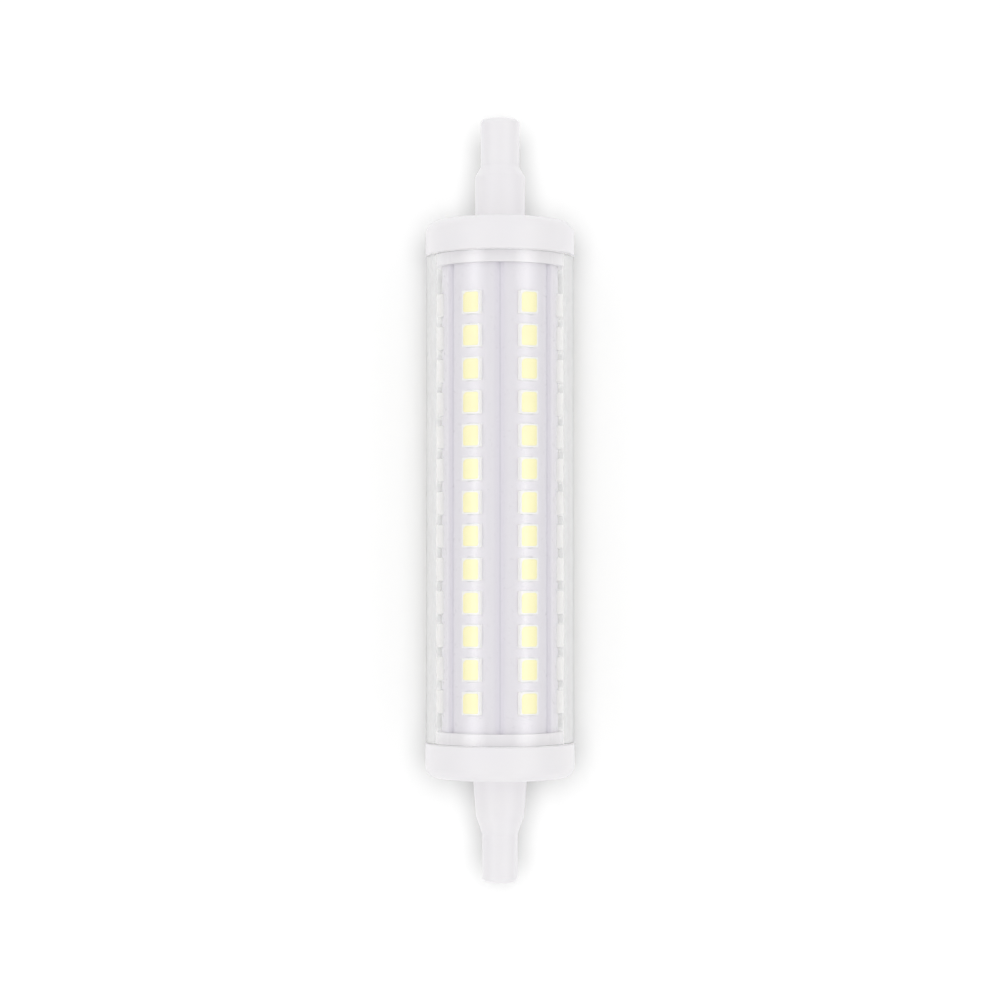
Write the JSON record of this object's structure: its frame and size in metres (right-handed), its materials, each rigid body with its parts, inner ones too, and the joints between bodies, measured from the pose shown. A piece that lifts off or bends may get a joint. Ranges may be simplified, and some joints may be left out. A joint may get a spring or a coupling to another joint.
{
  "type": "linear led bulb",
  "caption": "Double-ended linear LED bulb: a clear tube with white stepped end caps, round a core with rows of yellow LEDs.",
  "frame": {"origin": "centre of the lamp, on its axis", "axes": "+Y along the lamp to its upper end; +Z out of the joint between two LED strips that faces the viewer; +X to the right"},
  "size_m": [0.023, 0.118, 0.023],
  "materials": {
    "clear_cover": "clear polycarbonate, extruded, glossy",
    "white_cap": "white moulded polyester, satin gloss",
    "contact_metal": "brass with a nickel plate, turned",
    "core_metal": "extruded, plain",
    "white_board": "thin board with white solder resist, satin",
    "led_package": "white moulded package, satin",
    "led_phosphor": "silicone filled with yellow phosphor, smooth",
    "sleeve_film": "insulating film, satin",
    "green_board": "glass-fibre board with green solder resist",
    "black_package": "moulded epoxy, matt",
    "resistor_body": "ceramic rod with a coat of enamel",
    "capacitor_can": "aluminium can in a shrunk film",
    "wire_cover": "silicone cover, satin"
  },
  "bodies": {
    "root": {"cover_tube": "clear_cover", "upper_end_cap": "white_cap", "lower_end_cap": "white_cap", "upper_contact": "contact_metal", "lower_contact": "contact_metal", "core_tube": "core_metal", "upper_link_board": "white_board", "lower_link_board": "white_board", "led_strip_1": "white_board", "led_strip_2": "white_board", "led_strip_3": "white_board", "led_strip_4": "white_board", "led_strip_5": "white_board", "led_strip_6": "white_board", "led_strip_7": "white_board", "led_packages_1": "led_package", "led_packages_2": "led_package", "led_packages_3": "led_package", "led_packages_4": "led_package", "led_packages_5": "led_package", "led_packages_6": "led_package", "led_packages_7": "led_package", "led_phosphors_1": "led_phosphor", "led_phosphors_2": "led_phosphor", "led_phosphors_3": "led_phosphor", "led_phosphors_4": "led_phosphor", "led_phosphors_5": "led_phosphor", "led_phosphors_6": "led_phosphor", "led_phosphors_7": "led_phosphor", "insulating_sleeve": "sleeve_film", "driver_board": "green_board", "fusible_resistor": "resistor_body", "bridge_rectifier": "black_package", "smoothing_capacitor": "capacitor_can", "driver_chips": "black_package", "upper_mains_wire": "wire_cover", "lower_mains_wire": "wire_cover", "output_wires": "wire_cover"}
  },
  "joints": []
}
